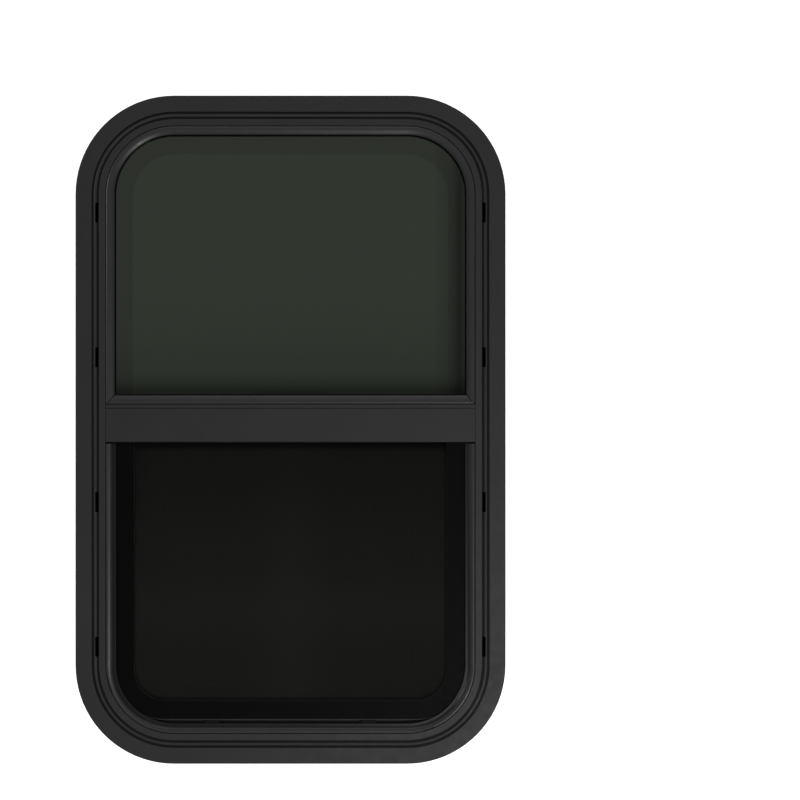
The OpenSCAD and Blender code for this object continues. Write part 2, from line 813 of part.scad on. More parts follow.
// A pan head screw, its head standing on the recess and its shaft towards the outside
module ring_screw() {
    core = channel_w - touch;
    dome = (head_d * head_d / 4 + head_h * head_h) / (2 * head_h);
    rotate([-90, 0, 0]) {
        intersection() {
            translate([0, 0, head_h - dome]) sphere(dome);
            cylinder(d = head_d, h = head_h);
        }
        translate([0, 0, -screw_l + core]) cylinder(d = core, h = screw_l - core);
        translate([0, 0, -screw_l]) cylinder(d1 = tip_d, d2 = core, h = core);
    }
}

module screws_across(side) {
    color("#191919")
        translate([0, recess_y, mid_z + side * (outer_h / 2 - channel_u)])
            row_x(screw_count, pitch_across()) ring_screw();
}

module screws_up(side) {
    color("#191919")
        translate([side * (outer_w / 2 - channel_u), recess_y, mid_z])
            row_z(screw_count, pitch_up()) ring_screw();
}

module ring_screws_top() { screws_across(1); }
module ring_screws_bottom() { screws_across(-1); }
module ring_screws_left() { screws_up(-1); }
module ring_screws_right() { screws_up(1); }

outer_frame();
fixed_glass();
glazing_tape();
glass_setting_blocks();
upper_bead();
rail_bead();
meeting_rail();
rail_seal();
lower_bead();
screen_frame();
screen_top_bar();
screen_corner_keys();
screen_mesh();
screen_spline();
screen_rest_blocks();
sash_glass();
sash_top_rail();
sash_rail_gasket();
sash_rail_end_caps();
sash_glides();
sash_seal_front();
sash_seal_back();
latch_body();
latch_slide();
clamp_ring();
ring_screws_top();
ring_screws_bottom();
ring_screws_left();
ring_screws_right();
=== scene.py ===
from math import atan2, cos, pi, sin, sqrt

import bmesh
import bpy
from bpy.props import FloatProperty, FloatVectorProperty, IntProperty, PointerProperty
from mathutils import Matrix, Vector


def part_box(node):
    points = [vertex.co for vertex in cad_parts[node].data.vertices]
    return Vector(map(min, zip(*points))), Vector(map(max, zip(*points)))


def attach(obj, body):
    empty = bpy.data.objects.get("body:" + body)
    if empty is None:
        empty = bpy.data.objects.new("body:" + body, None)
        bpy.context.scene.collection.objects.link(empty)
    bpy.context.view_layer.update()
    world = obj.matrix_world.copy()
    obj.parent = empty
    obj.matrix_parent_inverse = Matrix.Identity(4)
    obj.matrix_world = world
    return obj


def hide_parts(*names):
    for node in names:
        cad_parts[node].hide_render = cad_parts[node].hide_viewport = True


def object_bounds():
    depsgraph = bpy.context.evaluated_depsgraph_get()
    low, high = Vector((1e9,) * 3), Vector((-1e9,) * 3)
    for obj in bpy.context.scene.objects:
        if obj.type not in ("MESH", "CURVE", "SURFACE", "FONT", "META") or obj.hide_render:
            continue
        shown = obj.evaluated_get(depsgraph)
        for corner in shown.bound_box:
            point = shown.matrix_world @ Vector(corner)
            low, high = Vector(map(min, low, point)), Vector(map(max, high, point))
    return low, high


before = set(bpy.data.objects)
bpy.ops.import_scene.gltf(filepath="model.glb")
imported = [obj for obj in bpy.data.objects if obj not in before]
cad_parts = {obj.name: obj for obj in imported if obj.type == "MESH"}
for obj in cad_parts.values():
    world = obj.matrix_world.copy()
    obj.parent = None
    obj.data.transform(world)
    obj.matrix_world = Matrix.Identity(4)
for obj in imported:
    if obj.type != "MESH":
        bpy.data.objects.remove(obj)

bl_info = {
    "name": "Caravan Window Dresser",
    "version": (1, 0, 0),
    "blender": (4, 5, 0),
    "location": "3D View > Sidebar > Window",
    "description": "Finishes, cloth, screws and studio for a vertical slider caravan window",
    "category": "Object",
}

BODY = "root"
CAD_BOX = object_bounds()
MM = 0.001

# Cleaning of a copied mesh: points closer than WELD in metres are joined, faces that meet at less
# than FLAT in radians become one, and edges sharper than CREASE stay sharp or are rounded
WELD = 0.00001
FLAT = 0.02
CREASE = 0.6

# Direction in which a mesh's faces are sorted, so that every run gives the same order
FACE_ORDER = Vector((1, 1.3247, 1.7549))

# Ring screws: head, cross drive and point
SCREWS_A_SIDE = 4
HEAD_HEIGHT = 2.6 * MM
CROWN_STEPS = (0.55, 0.68, 0.8, 0.9, 0.97)  # shares of the head's radius
DRIVE_FLOOR = 0.6  # size of the drive's floor as a share of its mouth
DRIVE_SPREAD = 1.6  # angle beside a drive slot as a multiple of its corner's
TURN_RINGS = 5  # rings of points in one turn of the thread
RIDGE = 0.3  # half the width of the thread's ridge as a share of its pitch
SLIVER = 0.001  # least width that a direction across a drive slot counts with
POINT = 3 * MM
POINT_LEAST = 0.08  # thinnest share of the shaft before the tip
TIP = 0.2 * MM

# Grip ribs of the latch's thumb piece
RIB = 0.7 * MM
RIB_END = 1.5 * MM
RIB_RISE = 0.35 * MM

# Moulded blocks of the sash rail: node, piece and rounding of its edges
BLOCKS = (
    ("sash_rail_end_caps", "track_caps", 0.15 * MM),
    ("sash_glides", "glide_shoes", 0.35 * MM),
)

# Sides of a thread of the insect screen
CLOTH_SIDES = 6

# Painted shade: the share of light that a place keeps, as (millimetres, share)
# Along Y from the wall's outside skin towards the room
# Painted shade in the frame's grooves and slots
FRAME_SHADE = ((-2.95, 1), (-2.3, 0.34), (-1.5, 0.34), (-1.2, 1))
# Painted shade on the upper beads' inner slope, with a painted shadow line where they meet the
# glass
UPPER_BEAD_SHADE = ((-3.3, 1), (-2.0, 0.66), (-1.7, 0.03), (0, 0.03))
# Painted shade on the lower bead's inner slope and lip
LOWER_BEAD_SHADE = ((-3.3, 1), (-2.2, 0.42), (0, 0.38), (2.5, 0.12))
# Behind the outside face of the screen's frame: painted shade on the face itself, and the rounded
# rim left at full colour as a painted highlight
SCREEN_SHADE = ((0, 0.04), (0.05, 0.04), (0.15, 1), (0.7, 1), (1.6, 0.6))
# Painted shade on the glass: up from the rail bead, left from the fixed glass's right edge, and
# down from the meeting rail as its painted shadow
SILL_SHADE = ((0, 0.34), (4, 0.36), (8, 0.52), (12, 0.66), (20, 0.82), (50, 0.93), (100, 1))
SIDE_SHADE = ((38, 1), (32, 0.89), (25, 0.83), (21, 0.78), (17, 0.61), (13, 0.47), (9, 0.65))
RAIL_SHADE = ((250, 1), (100, 0.9), (40, 0.6), (8, 0.45), (4, 0.1), (0, 0.05))

# Both panes
GLASS_IOR = 1.667

# Studio light
AIR_LIGHT = 0.48
PAPER_TONE = 0.8
PAPER_ROUGHNESS = 0.9
PAPER_GLOW = 0.7  # added where the camera sees the paper

# Lamps: name, place with its height from the window's middle, what it looks at (None is the
# window's middle), width and power in watts
LAMPS = (
    ("key_left", (-2.3, -0.85, 0.7), None, 0.8, 22),
    ("front_right", (0.6, -2.0, -0.72), (0.15, 0, 0.1), 0.3, 13.5),
    ("low_right", (1.1, -0.8, -0.9), (0.2, 0, 0.05), 0.6, 8),
    ("top", (0.2, -1.5, 1.6), None, 1.2, 8),
    ("room", (0.9, 1.6, 1.0), None, 1.0, 16),
)

# Camera: the photograph's width, its scale, and where the window's middle lies in it
PHOTO_PX = 800
MM_PER_PX = 0.9608
WINDOW_PX = (290.5, 429.7)
CAMERA_DISTANCE = 1.9
SENSOR_MM = 36

COATED = ("outer_frame", "meeting_rail", "sash_top_rail")
SCREEN_METAL = ("screen_frame", "screen_top_bar")
UPPER_BEADS = ("upper_bead", "rail_bead")
RUBBERS = ("glazing_tape", "glass_setting_blocks", "screen_spline", "screen_rest_blocks",
           "sash_rail_gasket")
PILES = ("rail_seal", "sash_seal_front", "sash_seal_back")
PLASTICS = ("screen_corner_keys", "sash_rail_end_caps", "sash_glides", "latch_body",
            "latch_slide")
SCREWS = {"top": (1, 0), "bottom": (1, 0), "left": (0, 1), "right": (0, 1)}  # way of each row


def colour(name, description, default):
    """A colour property in scene linear values."""
    return FloatVectorProperty(
        name=name, description=description, default=default, size=3, min=0, max=1,
        subtype="COLOR")


def length(name, description, default):
    """A length property in metres."""
    return FloatProperty(
        name=name, description=description, default=default, min=0, unit="LENGTH")


class WindowSizes(bpy.types.PropertyGroup):
    """Sizes of what is modelled here."""

    cloth_pitch: length(
        "Cloth pitch", "Distance between the threads of the insect screen", 1.15 * MM)
    cloth_thread: length(
        "Cloth thread", "Thickness of a thread of the insect screen", 0.3 * MM)
    cloth_corner: length("Cloth corner", "Radius of the cloth's lower corners", 31.2 * MM)
    thread_pitch: length(
        "Thread pitch", "Distance between the turns of a screw's thread", 1.4 * MM)
    thread_root: length("Thread root", "Diameter at the root of a screw's thread", 2.3 * MM)
    thread_crest: length("Thread crest", "Diameter at the crest of a screw's thread", 2.9 * MM)
    drive_width: length("Drive width", "Width of a slot of the screws' cross drive", 1.1 * MM)
    drive_reach: length("Drive reach", "Length of a slot of the screws' cross drive", 4.6 * MM)
    drive_depth: length("Drive depth", "Depth of the screws' cross drive", 1.5 * MM)
    grip_count: IntProperty(
        name="Grip ribs", description="Ribs on the latch's thumb piece", default=5, min=1)
    edge_soft: length("Moulded edge", "Rounding of the moulded parts' edges", 0.5 * MM)


class WindowColours(bpy.types.PropertyGroup):
    """Colours of the finishes."""

    coat: colour(
        "Powder coat", "Satin black coat of the frame and rails", (0.0120, 0.0116, 0.0127))
    ring: colour("Ring coat", "Matt black coat of the clamp ring", (0.0105, 0.0105, 0.0110))
    # Full colour only on the frame's rounded rim, as a painted highlight; the face is darkened by
    # SCREEN_SHADE as painted shade
    screen: colour(
        "Screen paint", "Matt black paint of the screen's frame", (0.0180, 0.0180, 0.0180))
    bead: colour("Glazing bead", "Satin black vinyl of the beads", (0.0130, 0.0127, 0.0137))
    fixed_tint: colour("Fixed glass", "Tint of the fixed glass", (0.0050, 0.0076, 0.0046))
    sash_tint: colour("Sash glass", "Tint of the sliding glass", (0.0046, 0.0052, 0.0041))
    glare: colour(
        "Fixed glass glare", "Tint of the light that the fixed glass reflects", (0.88, 1.0, 0.82))
    # Lowered to about four tenths of the fixed glass's glare: painted shade of the insect screen
    # on the sliding glass's reflection
    sash_shaded_glare: colour(
        "Sash glare", "Tint of the light that the sliding glass reflects", (0.363, 0.403, 0.339))
    rubber: colour(
        "Rubber", "Tapes, blocks, gaskets and the screen's spline", (0.0040, 0.0040, 0.0040))
    pile: colour("Pile", "Wool pile of the track seals", (0.0060, 0.0060, 0.0062))
    cloth: colour("Screen cloth", "Coated threads of the insect screen", (0.0018, 0.0018, 0.0016))
    plastic: colour("Moulded plastic", "Latch, glides and corner keys", (0.0120, 0.0120, 0.0126))
    screw: colour("Screws", "Black oxide of the ring's screws", (0.0140, 0.0140, 0.0140))


class Finish:
    """A material under construction: its node tree, its shader and its coordinates."""

    def __init__(self, name, roughness, specular=0.5, metallic=0.0):
        self.material = bpy.data.materials.new(name)
        self.material.use_nodes = True
        self.tree = self.material.node_tree
        self.shader = self.tree.nodes["Principled BSDF"]
        self.shader.inputs["Roughness"].default_value = roughness
        self.shader.inputs["Specular IOR Level"].default_value = specular
        self.shader.inputs["Metallic"].default_value = metallic
        self.place = self.add("ShaderNodeTexCoord").outputs["Object"]

    def add(self, kind, **values):
        """A new node with some of its values set."""
        node = self.tree.nodes.new(kind)
        for key, value in values.items():
            setattr(node, key, value)
        return node

    def join(self, out, into):
        """Links one node's output to another's input."""
        self.tree.links.new(out, into)

    def scaled(self, scale):
        """Object coordinates stretched by a factor on each axis."""
        node = self.add("ShaderNodeMapping")
        node.inputs["Scale"].default_value = scale
        self.join(self.place, node.inputs["Vector"])
        return node.outputs["Vector"]

    def noise(self, size, detail=3.0, stretch=(1, 1, 1)):
        """Cloudy pattern whose patches are about size across, in metres."""
        node = self.add("ShaderNodeTexNoise")
        node.inputs["Scale"].default_value = 1 / size
        node.inputs["Detail"].default_value = detail
        self.join(self.scaled(stretch), node.inputs["Vector"])
        return node.outputs["Fac"]

    def ramp(self, value, low, high, start=0.3, end=0.7):
        """Maps a pattern between two values."""
        node = self.add("ShaderNodeMapRange")
        node.inputs["From Min"].default_value = start
        node.inputs["From Max"].default_value = end
        node.inputs["To Min"].default_value = low
        node.inputs["To Max"].default_value = high
        self.join(value, node.inputs["Value"])
        return node.outputs["Result"]

    def along(self, axis, stops):
        """Value that changes along an axis, through stops of (place in metres, value)."""
        parts = self.add("ShaderNodeSeparateXYZ")
        self.join(self.place, parts.inputs["Vector"])
        start, end = stops[0][0], stops[-1][0]
        ramp = self.add("ShaderNodeValToRGB")
        self.join(self.ramp(parts.outputs[axis], 0, 1, start, end), ramp.inputs["Fac"])
        points = ramp.color_ramp.elements
        while len(points) < len(stops):
            points.new(1.0)
        for point, (place, value) in zip(points, stops):
            point.position = (place - start) / (end - start)
            point.color = (value, value, value, 1)
        return ramp.outputs["Color"]

    def shade(self, axis, stops):
        """Paints shade along an axis: darkens the colour and the reflected light through stops.
        """
        for socket in ("Base Color", "Specular Tint"):
            into = self.shader.inputs[socket]
            node = self.add("ShaderNodeVectorMath", operation="MULTIPLY")
            if into.is_linked:
                self.join(into.links[0].from_socket, node.inputs[0])
            else:
                node.inputs[0].default_value = into.default_value[:3]
            self.join(self.along(axis, stops), node.inputs[1])
            self.join(node.outputs["Vector"], into)

    def tone(self, base, pattern, spread):
        """Base colour that a pattern darkens and lightens by a share."""
        node = self.add("ShaderNodeMix", data_type="RGBA")
        node.inputs["A"].default_value = [c * (1 - spread) for c in base] + [1]
        node.inputs["B"].default_value = [c * (1 + spread) for c in base] + [1]
        self.join(self.ramp(pattern, 0, 1), node.inputs["Factor"])
        self.join(node.outputs["Result"], self.shader.inputs["Base Color"])

    def gloss(self, pattern, low, high):
        """Roughness that follows a pattern."""
        self.join(self.ramp(pattern, low, high), self.shader.inputs["Roughness"])

    def bump(self, pattern, height, strength=1.0):
        """Relief of a given height in metres."""
        node = self.add("ShaderNodeBump")
        node.inputs["Distance"].default_value = height
        node.inputs["Strength"].default_value = strength
        self.join(pattern, node.inputs["Height"])
        self.join(node.outputs["Normal"], self.shader.inputs["Normal"])


def shade_stops(start, shade, way=1):
    """Stops in metres for a shade that runs one way or the other from a start."""
    return [(start + way * mm * MM, value) for mm, value in shade]


def powder_coat(name, base, rough_low, rough_high, specular, depths=()):
    """Coated metal: fine orange peel, slight cloudiness, and painted shade along its depth where
    stops are given.
    """
    finish = Finish(name, rough_low, specular)
    finish.tone(base, finish.noise(60 * MM), spread=0.07)
    finish.gloss(finish.noise(9 * MM), rough_low, rough_high)
    finish.bump(finish.noise(0.5 * MM, detail=2.0), height=0.012 * MM, strength=0.6)
    if depths:
        finish.shade("Y", depths)
    return finish.material


def vinyl(name, base, depths):
    """Extruded vinyl: fine grain, small scuffs in the gloss, and painted shade on its inner
    slope.
    """
    finish = Finish(name, roughness=0.32, specular=0.32)
    finish.tone(base, finish.noise(25 * MM), spread=0.08)
    finish.gloss(finish.noise(4 * MM), low=0.28, high=0.36)
    finish.bump(finish.noise(0.35 * MM, detail=2.0), height=0.008 * MM, strength=0.5)
    finish.shade("Y", depths)
    return finish.material


def rubber(name, base):
    """Dull rubber with a dusty bloom."""
    finish = Finish(name, roughness=0.75, specular=0.1)
    finish.tone(base, finish.noise(3 * MM), spread=0.18)
    finish.gloss(finish.noise(1.5 * MM), low=0.65, high=0.85)
    finish.bump(finish.noise(0.25 * MM, detail=2.0), height=0.02 * MM, strength=0.6)
    return finish.material


def moulded(name, base):
    """Spark-eroded mould texture on nylon."""
    finish = Finish(name, roughness=0.5, specular=0.3)
    finish.tone(base, finish.noise(8 * MM), spread=0.08)
    finish.gloss(finish.noise(2 * MM), low=0.42, high=0.56)
    finish.bump(finish.noise(0.3 * MM), height=0.02 * MM, strength=0.7)
    return finish.material


def pile(name, base):
    """Short wool pile: tufts that stand across the strip."""
    finish = Finish(name, roughness=0.95, specular=0.05)
    finish.tone(base, finish.noise(0.6 * MM, detail=4.0), spread=0.45)
    finish.bump(finish.noise(0.35 * MM, detail=4.0), height=0.15 * MM)
    finish.shader.inputs["Sheen Weight"].default_value = 0.2
    finish.shader.inputs["Sheen Roughness"].default_value = 0.6
    return finish.material


def cloth_thread(name, base):
    """Vinyl-coated glass fibre."""
    finish = Finish(name, roughness=0.55, specular=0.1)
    finish.tone(base, finish.noise(0.8 * MM), spread=0.2)
    finish.bump(finish.noise(0.15 * MM, detail=2.0), height=0.01 * MM, strength=0.6)
    return finish.material


def black_oxide(name, base):
    """Blackened steel with a thin oil sheen."""
    finish = Finish(name, roughness=0.38, metallic=0.6)
    finish.tone(base, finish.noise(1.5 * MM), spread=0.25)
    finish.gloss(finish.noise(0.8 * MM), low=0.3, high=0.5)
    finish.bump(finish.noise(0.2 * MM, detail=2.0), height=0.01 * MM, strength=0.5)
    return finish.material


def tinted_glass(name, tint, glare, heights, sides=()):
    """Tempered glass tinted in the mass, with a faint roller wave and painted shade at its edges.
    """
    finish = Finish(name, roughness=0.0)
    finish.shader.inputs["Specular Tint"].default_value = (*glare, 1)
    finish.shader.inputs["Transmission Weight"].default_value = 1.0
    finish.shader.inputs["IOR"].default_value = GLASS_IOR
    finish.tone(tint, finish.noise(180 * MM, detail=1.0), spread=0.05)
    finish.gloss(finish.noise(35 * MM, detail=4.0), low=0.0, high=0.03)
    wave = finish.noise(120 * MM, detail=0.0, stretch=(1, 1, 2.5))
    finish.bump(wave, height=0.02 * MM, strength=0.5)
    finish.shade("Z", heights)
    if sides:
        finish.shade("X", sides)
    return finish.material


def dress(nodes, material):
    """Gives CAD nodes a finish."""
    for name in nodes:
        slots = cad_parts[name].data.materials
        slots.clear()
        slots.append(material)


def settings():
    """The sizes and colours that the user set."""
    scene = bpy.context.scene
    return scene.window_sizes, scene.window_colours


def done(name, mesh, material, node):
    """Links a finished piece that stands for a CAD node and rides with the window."""
    piece = bpy.data.objects.new(name, mesh)
    bpy.context.scene.collection.objects.link(piece)
    mesh.materials.append(material)
    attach(piece, BODY)
    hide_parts(node)


def softened(node, width, segments=3):
    """A copy of a CAD node's mesh with its sharp edges rounded."""
    shape = bmesh.new()
    shape.from_mesh(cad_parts[node].data)
    bmesh.ops.remove_doubles(shape, verts=shape.verts, dist=WELD)
    bmesh.ops.dissolve_limit(
        shape, angle_limit=FLAT, verts=shape.verts, edges=shape.edges)
    sharp = [edge for edge in shape.edges if edge.calc_face_angle(0) > CREASE]
    bmesh.ops.bevel(
        shape, geom=sharp, offset=width, affect="EDGES", segments=segments, profile=0.5,
        material=-1, clamp_overlap=True)
    return shape


def slab(shape, low, high):
    """Adds a box between two corners."""
    low, high = Vector(low), Vector(high)
    made = bmesh.ops.create_cube(shape, size=1)
    size = high - low
    matrix = Matrix.Translation((low + high) / 2) @ Matrix.Diagonal((*size, 1))
    bmesh.ops.transform(shape, verts=made["verts"], matrix=matrix)
    return made["verts"]


def to_mesh(shape, name, smooth=False):
    """Closes a shape under construction into a mesh with sorted faces."""
    bmesh.ops.recalc_face_normals(shape, faces=shape.faces)
    shape.faces.sort(key=lambda face: face.calc_center_median().dot(FACE_ORDER))
    mesh = bpy.data.meshes.new(name)
    shape.to_mesh(mesh)
    shape.free()
    if smooth:
        mesh.shade_smooth()
        mesh.set_sharp_from_angle(angle=CREASE)
    return mesh


def loft(shape, rings, turn):
    """Bridges closed rings of points, each placed by a turn, and fills both ends."""
    loops = []
    for ring in rings:
        verts = [shape.verts.new(turn @ Vector(point)) for point in ring]
        loops.append([shape.edges.new(pair) for pair in zip(verts, verts[1:] + verts[:1])])
    for near, far in zip(loops, loops[1:]):
        bmesh.ops.bridge_loops(shape, edges=near + far)
    bmesh.ops.edgeloop_fill(shape, edges=loops[0] + loops[-1])


class WINDOW_OT_coat_frame(bpy.types.Operator):
    """Powder coat the outside frame, the meeting rail and the sash rail"""

    bl_idname = "window.coat_frame"
    bl_label = "Coat Frame"

    def execute(self, context):
        # Painted shade in the grooves and slots, through FRAME_SHADE
        coat = powder_coat("frame_coat", settings()[1].coat, rough_low=0.42, rough_high=0.52,
                           specular=0.22, depths=shade_stops(0, FRAME_SHADE))
        dress(COATED, coat)
        return {"FINISHED"}


class WINDOW_OT_coat_ring(bpy.types.Operator):
    """Powder coat the clamp ring"""

    bl_idname = "window.coat_ring"
    bl_label = "Coat Ring"

    def execute(self, context):
        coat = powder_coat(
            "ring_coat", settings()[1].ring, rough_low=0.5, rough_high=0.62, specular=0.22)
        dress(["clamp_ring"], coat)
        return {"FINISHED"}


class WINDOW_OT_paint_screen(bpy.types.Operator):
    """Paint the metal of the insect screen"""

    bl_idname = "window.paint_screen"
    bl_label = "Paint Screen"

    def execute(self, context):
        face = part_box("screen_frame")[0].y
        # Painted shade on the frame's face and a painted highlight on its rounded rim, through
        # SCREEN_SHADE and the high specular level
        paint = powder_coat("screen_paint", settings()[1].screen, rough_low=0.4, rough_high=0.48,
                            specular=0.8, depths=shade_stops(face, SCREEN_SHADE))
        dress(SCREEN_METAL, paint)
        return {"FINISHED"}


class WINDOW_OT_finish_beads(bpy.types.Operator):
    """Finish the glazing beads"""

    bl_idname = "window.finish_beads"
    bl_label = "Finish Beads"

    def execute(self, context):
        base = settings()[1].bead
        # Painted shade on the beads' inner slopes, deeper on the lower bead and its lip
        dress(UPPER_BEADS, vinyl("bead_vinyl", base, shade_stops(0, UPPER_BEAD_SHADE)))
        dress(["lower_bead"], vinyl("lower_bead_shaded_vinyl", base, shade_stops(0, LOWER_BEAD_SHADE)))
        return {"FINISHED"}


class WINDOW_OT_tint_glass(bpy.types.Operator):
    """Tint both panes"""

    bl_idname = "window.tint_glass"
    bl_label = "Tint Glass"

    def execute(self, context):
        colours = settings()[1]
        # Painted shade on the panes: over the sill and at the fixed glass's right side, and the
        # meeting rail's painted shadow on the sliding glass
        over_sill = shade_stops(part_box("rail_bead")[1].z, SILL_SHADE)
        at_side = shade_stops(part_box("fixed_glass")[1].x, SIDE_SHADE, -1)
        under_rail = shade_stops(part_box("meeting_rail")[0].z, RAIL_SHADE, -1)
        dress(["fixed_glass"], tinted_glass(
            "fixed_tint", colours.fixed_tint, colours.glare, over_sill, at_side))
        dress(["sash_glass"], tinted_glass(
            "sash_tint", colours.sash_tint, colours.sash_shaded_glare, under_rail))
        return {"FINISHED"}


class WINDOW_OT_finish_seals(bpy.types.Operator):
    """Finish the rubber parts and the pile strips"""

    bl_idname = "window.finish_seals"
    bl_label = "Finish Seals"

    def execute(self, context):
        colours = settings()[1]
        dress(RUBBERS, rubber("seal_rubber", colours.rubber))
        dress(PILES, pile("pile_wool", colours.pile))
        return {"FINISHED"}


class WINDOW_OT_finish_plastics(bpy.types.Operator):
    """Finish the moulded parts"""

    bl_idname = "window.finish_plastics"
    bl_label = "Finish Plastics"

    def execute(self, context):
        dress(PLASTICS, moulded("black_nylon", settings()[1].plastic))
        return {"FINISHED"}


class WINDOW_OT_turn_screws(bpy.types.Operator):
    """Turn the ring's screws, with a cross drive and a rolled thread"""

    bl_idname = "window.turn_screws"
    bl_label = "Turn Screws"

    def execute(self, context):
        sizes, colours = settings()
        oxide = black_oxide("screw_oxide", colours.screw)
        for side, (across, up) in SCREWS.items():
            node = "ring_screws_" + side
            low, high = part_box(node)
            row = bmesh.new()
            width = high.x - low.x if up else high.z - low.z
            head = width / 2
            first = Vector((low.x + head, 0, low.z + head))
            way = Vector((across * (high.x - low.x - width), 0, up * (high.z - low.z - width)))
            step = way / (SCREWS_A_SIDE - 1)
            for i in range(SCREWS_A_SIDE):
                self.screw(row, sizes, first + i * step, low.y, high.y, head)
            mesh = to_mesh(row, "screws_" + side, smooth=True)
            done("screws_" + side, mesh, oxide, node)
        return {"FINISHED"}

    def screw(self, row, sizes, place, tip, top, head):
        """One pan head screw whose head stands towards the room."""
        turn = Matrix.Translation((place.x, 0, place.z)) @ Matrix.Rotation(-pi / 2, 4, "X")
        seat = top - HEAD_HEIGHT
        angles = self.angles(sizes)
        ways = [(cos(a), sin(a)) for a in angles]
        dome = (head ** 2 + HEAD_HEIGHT ** 2) / (2 * HEAD_HEIGHT)

        def circle(radius, depth):
            return [(radius * c, radius * s, depth) for c, s in ways]

        def crown(radius):
            return top - dome + sqrt(dome ** 2 - radius ** 2)

        reaches = [self.reach(sizes, a) for a in angles]
        floor = top - sizes.drive_depth
        rings = [[(DRIVE_FLOOR * r * c, DRIVE_FLOOR * r * s, floor)
                  for r, (c, s) in zip(reaches, ways)],
                 [(r * c, r * s, crown(r)) for r, (c, s) in zip(reaches, ways)]]
        rings += [circle(head * share, crown(head * share)) for share in CROWN_STEPS]
        rings += [circle(head, seat), circle(sizes.thread_crest / 2, seat)]
        rings += self.thread(sizes, angles, seat, tip)
        loft(row, rings, turn)

    def angles(self, sizes):
        """Directions round the axis, with one at each corner of the cross drive."""
        corner = atan2(sizes.drive_width, sizes.drive_reach)
        beside = DRIVE_SPREAD * corner
        spread = (-pi / 4, -beside, -corner, 0, corner, beside)
        return [quarter * pi / 2 + a for quarter in range(4) for a in spread]

    def reach(self, sizes, angle):
        """Distance from the axis to the cross drive's outline."""
        c, s = abs(cos(angle)), abs(sin(angle))
        long, wide = max(c, s), min(c, s)
        return min(sizes.drive_reach / 2 / long, sizes.drive_width / 2 / max(wide, SLIVER))

    def thread(self, sizes, angles, seat, tip):
        """Rings down the shaft that follow the thread's helix to a point."""
        root, crest = sizes.thread_root / 2, sizes.thread_crest / 2
        taper = seat - tip - POINT
        step = sizes.thread_pitch / TURN_RINGS
        rings = []
        for i in range(1, int((seat - tip) / step)):
            depth = i * step
            point = 1 - max(0, depth - taper) / (seat - tip - taper)
            ring = []
            for a in angles:
                phase = (depth / sizes.thread_pitch + a / (2 * pi)) % 1
                ridge = max(0, 1 - abs(phase - 0.5) / RIDGE)
                radius = (root + (crest - root) * ridge) * max(point, POINT_LEAST)
                ring.append((radius * cos(a), radius * sin(a), seat - depth))
            rings.append(ring)
        rings.append([(TIP * cos(a), TIP * sin(a), tip) for a in angles])
        return rings


class WINDOW_OT_mould_latch(bpy.types.Operator):
    """Mould the latch, with rounded edges and grip ribs on its thumb piece"""

    bl_idname = "window.mould_latch"
    bl_label = "Mould Latch"

    def execute(self, context):
        sizes, colours = settings()
        nylon = moulded("latch_nylon", colours.plastic)
        cover = softened("latch_body", sizes.edge_soft)
        done("latch_cover", to_mesh(cover, "latch_cover", smooth=True), nylon,
             "latch_body")
        slide = softened("latch_slide", sizes.edge_soft)
        low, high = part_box("latch_slide")
        pitch = (high.z - low.z - 2 * RIB_END) / sizes.grip_count
        for i in range(sizes.grip_count):
            z = low.z + RIB_END + (i + 0.5) * pitch
            verts = slab(slide, (low.x + RIB_END, high.y - RIB, z - RIB / 2),
                         (high.x - RIB_END, high.y + RIB_RISE, z + RIB / 2))
            edges = list(dict.fromkeys(edge for vert in verts for edge in vert.link_edges))
            bmesh.ops.bevel(slide, geom=edges, offset=RIB_RISE / 2, affect="EDGES", segments=2,
                            profile=0.5, material=-1)
        done("latch_thumb", to_mesh(slide, "latch_thumb", smooth=True), nylon,
             "latch_slide")
        return {"FINISHED"}


class WINDOW_OT_soften_blocks(bpy.types.Operator):
    """Round the edges of the sash rail's caps and glides"""

    bl_idname = "window.soften_blocks"
    bl_label = "Soften Blocks"

    def execute(self, context):
        nylon = moulded("block_nylon", settings()[1].plastic)
        for node, name, width in BLOCKS:
            shape = softened(node, width, segments=2)
            done(name, to_mesh(shape, name, smooth=True), nylon, node)
        return {"FINISHED"}


class WINDOW_OT_weave_screen(bpy.types.Operator):
    """Weave the insect screen from single threads"""

    bl_idname = "window.weave_screen"
    bl_label = "Weave Screen"

    def execute(self, context):
        sizes, colours = settings()
        low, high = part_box("screen_mesh")
        radius = sizes.cloth_thread / 2
        corner = sizes.cloth_corner
        cloth = bmesh.new()

        def thread(middle, reach, turn):
            made = bmesh.ops.create_cone(
                cloth, cap_ends=True, segments=CLOTH_SIDES, radius1=radius, radius2=radius,
                depth=reach)
            bmesh.ops.transform(
                cloth, verts=made["verts"], matrix=Matrix.Translation(middle) @ turn)

        width, height = high.x - low.x, high.z - low.z
        columns = int(width / sizes.cloth_pitch)
        rows = int(height / sizes.cloth_pitch)
        for i in range(columns):
            x = low.x + (i + 0.5) * width / columns
            past = max(0, abs(x) - (high.x - corner))
            foot = low.z + corner - sqrt(corner ** 2 - past ** 2)
            thread((x, low.y + radius, (foot + high.z) / 2), high.z - foot, Matrix())
        for i in range(rows):
            z = low.z + (i + 0.5) * height / rows
            past = max(0, low.z + corner - z)
            reach = width - 2 * (corner - sqrt(corner ** 2 - past ** 2))
            thread((0, high.y - radius, z), reach, Matrix.Rotation(pi / 2, 4, "Y"))
        mesh = bpy.data.meshes.new("screen_cloth")
        cloth.to_mesh(mesh)
        cloth.free()
        done("screen_cloth", mesh, cloth_thread("cloth_coating", colours.cloth),
             "screen_mesh")
        return {"FINISHED"}


def area_light(name, place, aim, width, power):
    """A soft square lamp that looks at a point."""
    data = bpy.data.lights.new(name, "AREA")
    data.shape = "SQUARE"
    data.size = width
    data.energy = power
    lamp = bpy.data.objects.new(name, data)
    bpy.context.scene.collection.objects.link(lamp)
    lamp.location = place
    lamp.rotation_euler = (Vector(aim) - Vector(place)).to_track_quat("-Z", "Y").to_euler()


